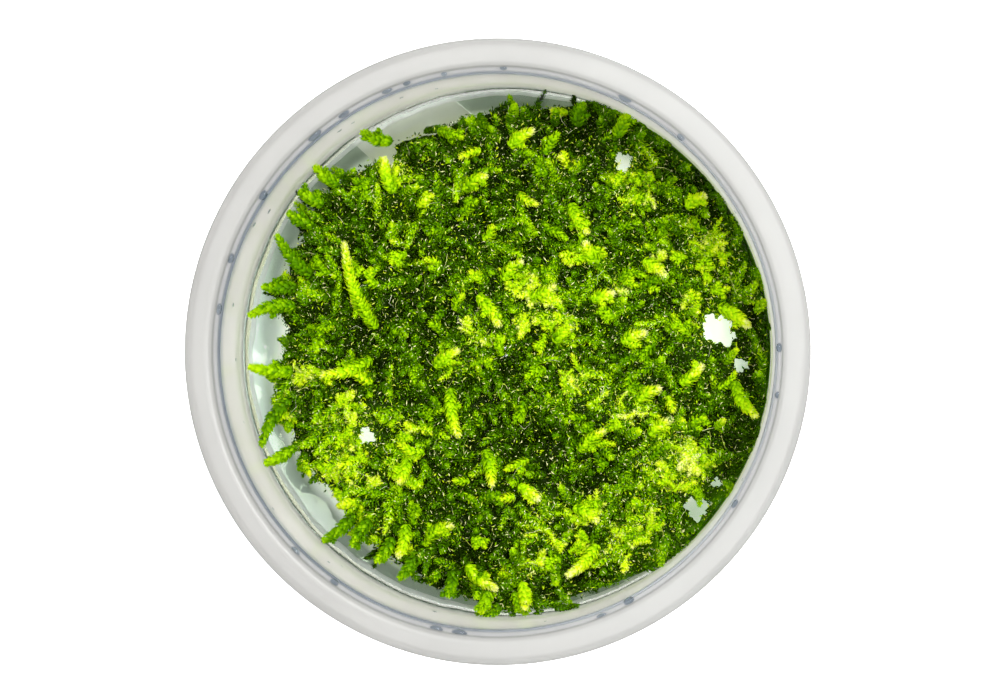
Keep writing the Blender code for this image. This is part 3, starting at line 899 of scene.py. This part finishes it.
def build_slivers(material, carpet, picked):
    """Narrow pale leaf ends all over the carpet, thickest in the pale patches; their palest tones are painted
    glints.
    """
    xs, ys, draw = scatter(0.9, 95)
    # The palest tones are painted glints where leaf ends catch the light.
    tones = draw.choice((0.6, 0.8, 1.05, 1.25), len(xs), p=(0.25, 0.2, 0.2, 0.35))
    dense_x, dense_y, _ = scatter(0.38, 96)
    pale = patch_tone(dense_x, dense_y)
    keep = draw.uniform(0, 1, len(pale)) < np.clip(pale * 2.4 - 0.2, 0, 0.9)
    xs, ys = np.append(xs, dense_x[keep]), np.append(ys, dense_y[keep])
    tones = np.append(tones, draw.uniform(0.75, 1.15, keep.sum()))
    growth = Growth()
    for x, y, tone in zip(xs, ys, tones):
        height = carpet.top(x, y)
        if height is None or height < GEL_TOP + 0.9:
            continue
        if picked.top(x, y) is not None and draw.uniform() < 0.93:
            continue
        heading, rise = draw.uniform(0, 2 * math.pi), math.radians(draw.uniform(-5, 25))
        bend = draw.normal(0, 0.5)
        length, width = draw.uniform(0.3, 0.95), draw.uniform(0.045, 0.095)
        line = [np.array((x, y, height + 0.08))]
        for turn in (heading, heading + bend):
            level = math.cos(rise)
            along = np.array((math.cos(turn) * level, math.sin(turn) * level, math.sin(rise)))
            line.append(line[-1] + along * length * 0.5)
        across = np.array((-math.sin(heading), math.cos(heading), 0.0)) * width
        points = np.array((line[0], line[1] - across, line[1] + across, line[2]))
        growth.add(points, tone, np.array(((0, 2, 1), (1, 2, 3))))
    add_piece("leaf_slivers", growth.mesh("leaf_slivers"), material)


def build_specks(material, carpet):
    """Tiny pale specks between the leaves: painted glints of wet leaves."""
    xs, ys, draw = scatter(1.0, 91)
    growth = Growth()
    for x, y in zip(xs, ys):
        height = carpet.top(x, y)
        if height is None:
            continue
        size = draw.uniform(0.04, 0.10)
        growth.add(BEAD * size + np.array((x, y, height + size * 0.5)), draw.uniform(0.3, 1.0), BEAD_FACES)
    add_piece("leaf_specks", growth.mesh("leaf_specks"), material)


# ---------------------------------------------------------------- cup, gel, label


def turned_mesh(name, profile, steps):
    """A turned surface from (radius, height) points in millimetres, closed where it meets the axis."""
    angle = ring_angles(steps)
    rings = np.array([point for point in profile if point[0] > 1e-6], float)
    points = np.stack([
        rings[:, None, 0] * np.cos(angle)[None],
        rings[:, None, 0] * np.sin(angle)[None],
        np.broadcast_to(rings[:, None, 1], (len(rings), steps)),
    ], axis=-1).reshape(-1, 3)
    points, ends = with_ends(points, steps, profile[0][1], profile[-1][1])
    return new_mesh(name, points * MM, [ends, ring_quads(len(rings), steps)])


def rounded(profile, radius, steps=3):
    """The profile with each inner corner cut by a short arc."""
    out = [profile[0]]
    for before, corner, after in zip(profile, profile[1:], profile[2:]):
        a, b, c = (np.array(p, float) for p in (before, corner, after))
        cut = min(radius, np.linalg.norm(a - b) * 0.4, np.linalg.norm(c - b) * 0.4)
        start, end = b + unit(a - b) * cut, b + unit(c - b) * cut
        for k in range(steps + 1):
            t = k / steps
            out.append(tuple((1 - t) ** 2 * start + 2 * t * (1 - t) * b + t * t * end))
    return out + [profile[-1]]


def build_cup(material, floor):
    """The cup with rounded moulded edges, on the same profile as the solid that it stands for."""
    profile = [
        (0, 1.8), (42.55, 1.8), (43.35, 2.6), (43.55, 12.3), (43.74, 13.4), (44.35, 37.8), (44.43, 36.9),
        (44.70, 36.9), (44.80, 38.6), (45.35, 38.8), (45.50, 39.5), (46.1, 39.9), (46.8, 40.0), (49.1, 40.0),
        (49.7, 39.7), (50.0, 39.0), (50.0, 35.4), (49.8, 35.2), (49.2, 35.2), (49.1, 38.7),
        (48.7, 39.0), (46.2, 38.8), (45.95, 37.1), (45.2, 35.5), (44.7, 12.8), (44.15, 0.3), (44.0, 0),
        (43.5, 0), (43.4, 1.0), (0, 1.0),
    ]
    mesh = turned_mesh("frosted_cup", rounded(profile, 0.3), 360)
    add_piece("frosted_cup", mesh, material, ("cup",))
    mesh.materials.append(floor)
    for face in mesh.polygons:
        if face.center.z < 1.81 * MM and math.hypot(*face.center.xy) < 42.3 * MM:
            face.material_index = 1


def build_gel(material):
    """Clear gel, flat where it meets the wall, with soft waves elsewhere that climb where they meet the moss.
    """
    rings, steps = 60, 360
    share = np.append(np.sqrt(np.linspace(0.002, 1, rings - 1)), 1.001)
    angle = ring_angles(steps)
    x = share[:, None] * WALL_RADIUS * np.cos(angle)[None]
    y = share[:, None] * WALL_RADIUS * np.sin(angle)[None]
    calm = np.clip((1 - share[:, None]) / 0.06, 0, 1)
    beyond = np.hypot(x, y) - mat_outline(angle)[None]
    climb = np.exp(-np.clip(beyond, 0, None) / 0.8)
    z = GEL_TOP + calm * (0.10 * waves(x, y, 31, 9.0) + 0.06 * waves(x, y, 32, 3.4) + 0.3 * climb)
    # Painted light: a green tint from the moss near its outline, and painted streaks of light bent by the
    # gel's surface.
    streak = np.sin(2 * math.pi * (np.hypot(x, y) + 0.9 * waves(x, y, 33, 16.0)) / 1.7)
    streak = 0.3 * streak * np.clip(waves(x, y, 34, 11.0), 0, 1)
    cast = 0.75 * np.exp(-np.clip(beyond, 0, None) / 2.2) + streak
    top = np.stack([x, y, z], axis=-1).reshape(-1, 3)
    sides = [(43.62, GEL_TOP - 0.05), (43.45, 8.0), (43.3, 2.7), (42.5, 1.9)]
    lower = np.array([
        (radius * math.cos(a), radius * math.sin(a), height) for radius, height in sides for a in angle
    ])
    points = np.vstack([top, lower])
    points, ends = with_ends(points, steps, GEL_TOP, 1.9)
    mesh = new_mesh("clear_gel", points * MM, [ends, ring_quads(rings + len(sides), steps)])
    set_tones(mesh, np.append(cast.ravel(), np.zeros(len(points) - cast.size)))
    add_piece("clear_gel", mesh, material, ("nutrient_gel",))


def ball(rows, steps):
    """A round bead of radius 1, as points and triangles."""
    polar = math.pi * np.arange(1, rows + 1) / (rows + 1)
    polar, turn = np.meshgrid(polar, ring_angles(steps), indexing="ij")
    points = np.stack([np.sin(polar) * np.cos(turn), np.sin(polar) * np.sin(turn), np.cos(polar)], axis=-1)
    points, ends = with_ends(points.reshape(-1, 3), steps, 1, -1)
    quads = ring_quads(rows, steps)
    return points, np.vstack([quads[:, (0, 1, 2, 0, 2, 3)].reshape(-1, 3), ends])


def build_droplets(material):
    """Condensation: beads of water on the ledge inside the rim and runs of it on the wall."""
    draw = np.random.default_rng(140)
    points, faces = ball(5, 10)
    growth = Growth()

    def add_drop(turn, radius, height, depth, breadth, tall):
        out = np.array((math.cos(turn), math.sin(turn), 0))
        shape = np.stack([out * depth, np.array((-out[1], out[0], 0)) * breadth, UP * tall])
        growth.add(points @ shape + out * radius + UP * height, 0.5, faces)

    ledge = (2, 51, 64, 89, 100, 109, 113, 121, 131, 146, 161, 171, 224, 234, 257, 262, 290, 297, 326, 353)
    for heading in ledge:
        turn = math.radians(heading + draw.normal(0, 1))
        big = 1.6 if heading in (131, 146) else draw.uniform(0.9, 1.4)
        radius = 45.1 + draw.normal(0, 0.12)
        add_drop(turn, radius, 38.75, 0.42 * big, draw.uniform(0.5, 1.0) * big, 0.30 * big)
    wall = (104, 111, 122, 127, 149, 152, 171, 183, 196, 214, 230, 235, 256, 280, 30, 332)
    for heading in wall:
        turn = math.radians(heading + draw.normal(0, 1))
        height = draw.uniform(17.0, 35.5)
        size, drop = draw.uniform(0.25, 0.5), draw.uniform(1.0, 3.2)
        add_drop(turn, 43.85 + (height - 12.8) * 0.02, height, 0.16, size, size * drop)
    add_piece("condensation", growth.mesh("condensation"), material)


def build_label(material):
    for place in frame["nodes"]["base_label"].material_slots:
        place.material = material


# ---------------------------------------------------------------- stage, light, camera


def build_stage():
    half, drop = 2.0, 0.00005
    corners = [(-half, -half, -drop), (half, -half, -drop), (half, half, -drop), (-half, half, -drop)]
    mesh = new_mesh("table_top", corners, [np.array([[0, 1, 2, 3]])])
    mesh.materials.append(table_material())
    table = bpy.data.objects.new("table_top", mesh)
    add_to_scene(table)


def add_softbox(name, place, power):
    """A square light half a metre wide, turned towards the cup."""
    light = bpy.data.lights.new(name, "AREA")
    light.shape, light.size, light.energy = "SQUARE", 0.5, power
    holder = bpy.data.objects.new(name, light)
    holder.location = place
    holder.rotation_euler = (-Vector(place)).to_track_quat("-Z", "Y").to_euler()
    add_to_scene(holder)


def build_lights():
    world = bpy.data.worlds.new("white_room")
    world.use_nodes = True
    set_values(world.node_tree.nodes["Background"], Color=(1.0, 1.0, 1.0, 1.0), Strength=1.1)
    bpy.context.scene.world = world
    add_softbox("key_softbox", (0.35, 0.30, 1.1), 10.0)
    add_softbox("fill_softbox", (-0.5, -0.2, 1.0), 1.5)


def build_camera():
    """Nearly straight down, leaning a little towards +X, from just under a metre with a long lens."""
    distance, lean = 0.900, math.radians(3.0)
    aim = Vector((0.57 * MM, 0.27 * MM, RIM_HEIGHT * MM))
    data = bpy.data.cameras.new("camera")
    data.sensor_width, data.lens = 36.0, 203.6
    camera = bpy.data.objects.new("camera", data)
    camera.location = aim + Vector((math.sin(lean), 0, math.cos(lean))) * distance
    camera.rotation_euler = (0, lean, 0)
    add_to_scene(camera)
    bpy.context.scene.camera = camera


def build():
    bpy.context.scene.view_settings.view_transform = "Standard"
    build_camera()
    build_stage()
    build_lights()
    greens = moss_greens_group()
    carpet_green = leaf_material("carpet_green", greens, 0.5, 0.25)
    shoot_green = leaf_material("shoot_green", greens, 0.15, 0.3)
    build_cup(frosted_material(), floor_material())
    build_gel(gel_material())
    build_label(paper_material())
    build_droplets(water_material())
    build_bed(carpet_green)
    build_carpet(carpet_green)
    build_stubble(carpet_green)
    build_rosettes(carpet_green)
    build_picked_shoots(shoot_green)
    build_tufts(shoot_green)
    threads = thread_material()
    build_threads(threads)
    carpet = Surface([o for o in bpy.data.objects if o.name.startswith("carpet_")])
    picked = Surface([o for o in bpy.data.objects if o.name.startswith(("leafy_", "bright_"))])
    build_slivers(carpet_green, carpet, picked)
    build_specks(threads, carpet)


build()
